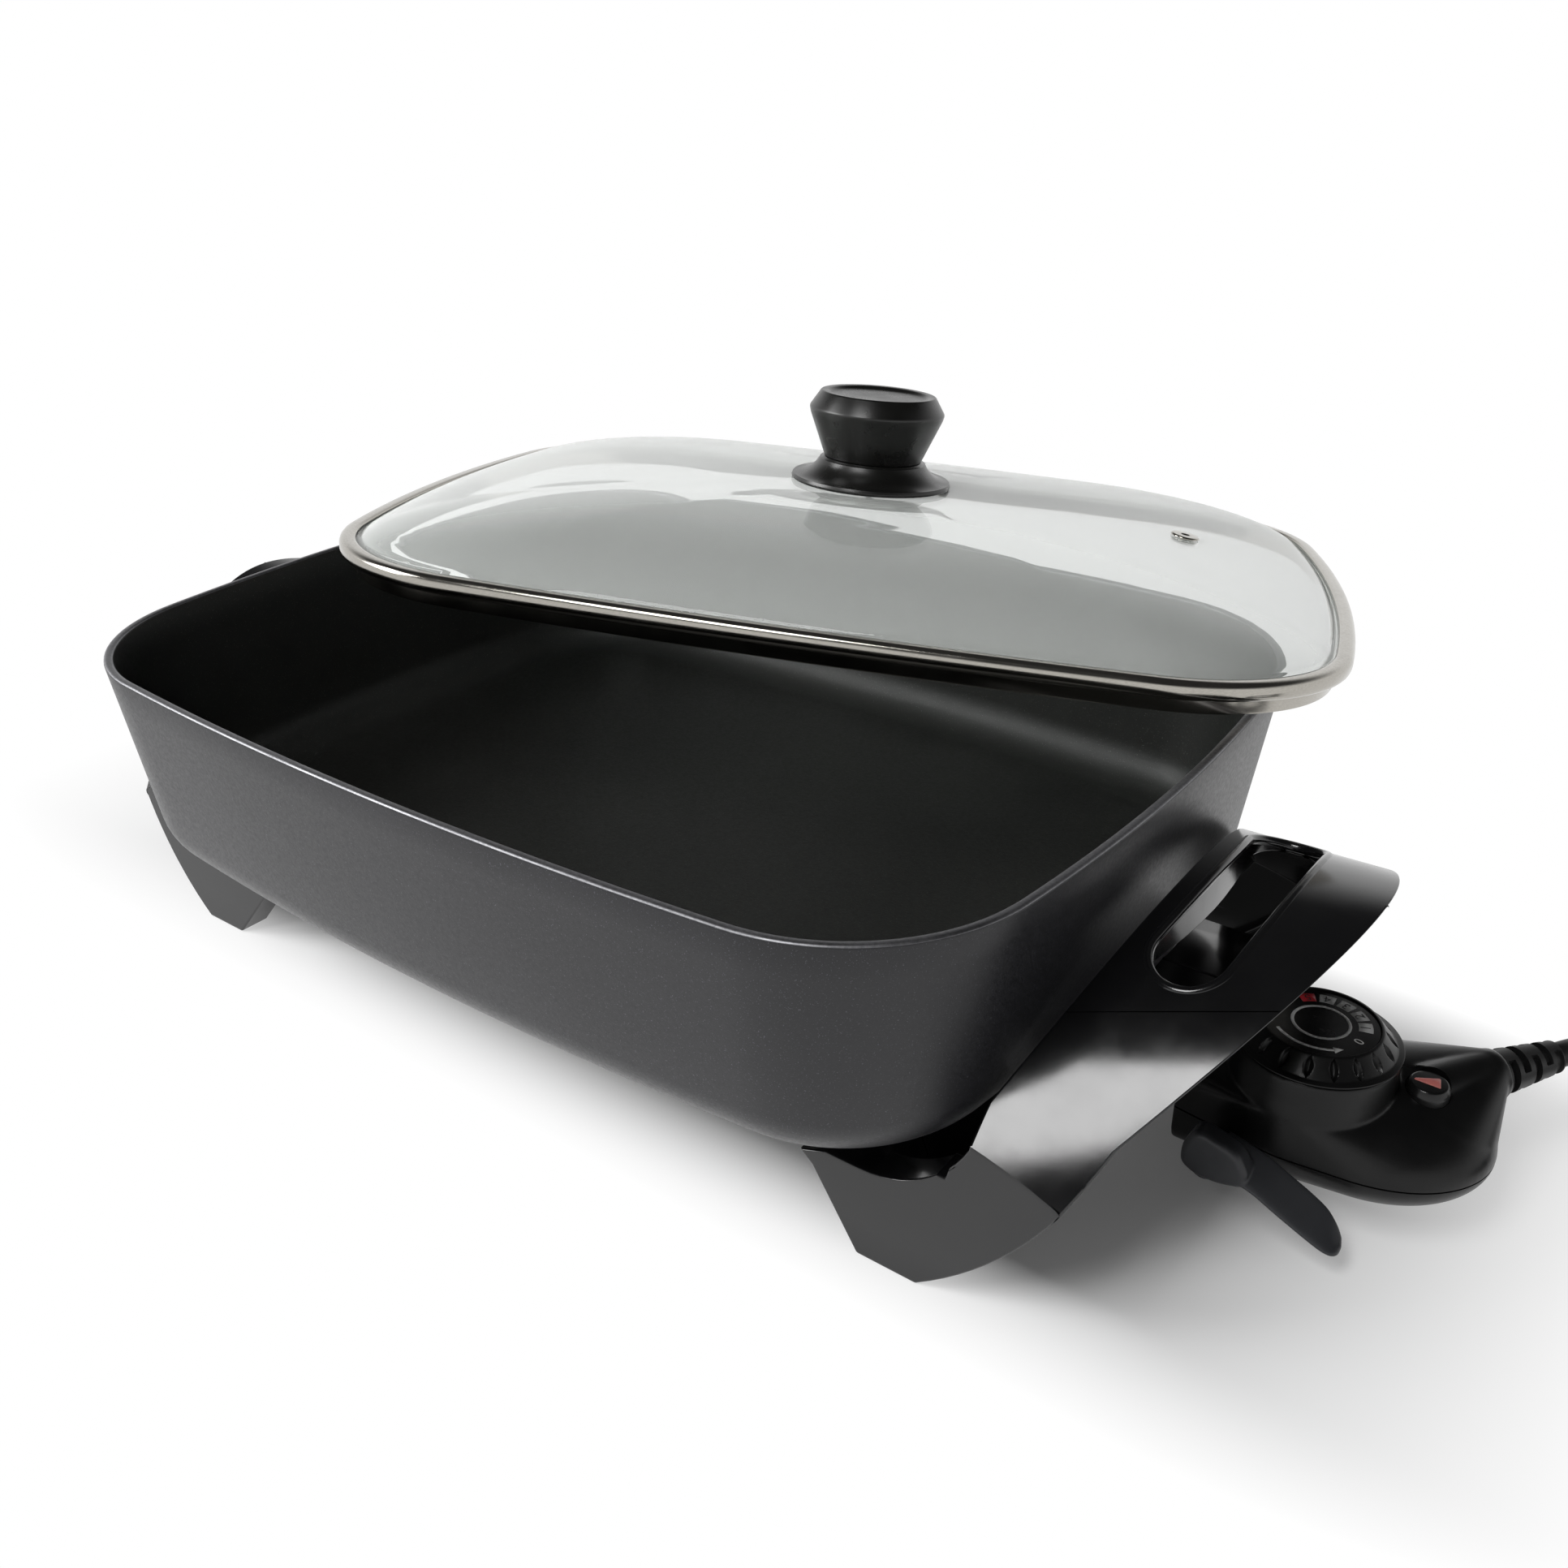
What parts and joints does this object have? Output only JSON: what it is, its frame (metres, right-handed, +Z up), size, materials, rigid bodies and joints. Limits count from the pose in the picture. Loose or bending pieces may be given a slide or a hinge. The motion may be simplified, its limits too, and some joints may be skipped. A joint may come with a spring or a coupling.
{
  "type": "electric skillet",
  "caption": "Deep rectangular electric skillet on two moulded handle-and-leg end pieces, with a lift-off domed glass lid and a plug-in heat control with dial, release lever and coiled lead.",
  "frame": {"origin": "on the worktop, under the middle of the pan", "axes": "+X along the pan towards the heat control, -Y towards the viewer's side, +Z up"},
  "size_m": [0.7591, 0.4684, 0.201],
  "materials": {
    "pan_coating": "charcoal non-stick coating with fine metallic speckle",
    "gloss_black": "glossy black moulded plastic",
    "matte_black": "fine-grained matte black plastic",
    "knob_black": "satin black heat-resistant plastic",
    "ring_steel": "polished stainless steel",
    "screw_steel": "zinc-plated steel",
    "element_steel": "dark heat-stained steel tube",
    "bare_aluminium": "cast aluminium",
    "clear_glass": "clear tempered glass",
    "ceramic": "off-white ceramic insulator",
    "brass": "plain brass",
    "red_lens": "translucent red lens",
    "rubber_black": "black flexible PVC"
  },
  "bodies": {
    "root": {"pan": "pan_coating", "end_piece_right": "gloss_black", "end_piece_left": "gloss_black", "end_piece_screws": "screw_steel", "heating_element": "element_steel", "element_terminals": "screw_steel", "terminal_bushes": "ceramic", "terminal_guard": "screw_steel", "guard_screws": "screw_steel", "probe_well": "bare_aluminium"},
    "lid": {"lid_glass": "clear_glass", "lid_ring": "ring_steel", "knob_grip": "knob_black", "knob_collar": "knob_black", "knob_screw": "ring_steel", "knob_washer": "rubber_black", "steam_vent": "ring_steel"},
    "control": {"control_cover": "matte_black", "control_base": "matte_black", "control_screws": "screw_steel", "pilot_bezel": "matte_black", "pilot_lens": "red_lens", "pilot_lamp": "clear_glass", "probe_rod": "ring_steel", "pin_sockets": "brass", "thermostat_block": "ceramic", "contact_leaf": "brass", "lever_pin": "screw_steel", "strain_relief": "rubber_black", "cord": "rubber_black", "cord_coil": "rubber_black", "coil_tie": "rubber_black", "plug_body": "rubber_black", "plug_pins": "brass"},
    "dial": {"dial": "matte_black", "dial_disc": "gloss_black", "dial_spindle": "screw_steel"},
    "lever": {"release_lever": "matte_black"}
  },
  "joints": [
    {"name": "lid_lift", "type": "slide", "parent": "root", "child": "lid", "axis": [0, 0, 1], "range_m": [0, 0.15]},
    {"name": "control_unplug", "type": "slide", "parent": "root", "child": "control", "axis": [1, 0, 0], "range_m": [0, 0.09]},
    {"name": "dial_turn", "type": "hinge", "parent": "control", "child": "dial", "pos_m": [0.2505, 0, 0.059], "axis": [0, 0, -1], "range_deg": [0, 270]},
    {"name": "lever_lift", "type": "hinge", "parent": "control", "child": "lever", "pos_m": [0.2325, -0.032, 0.021], "axis": [0, -1, 0], "range_deg": [0, 20], "stiffness_Nm_per_rad": 0.2}
  ]
}
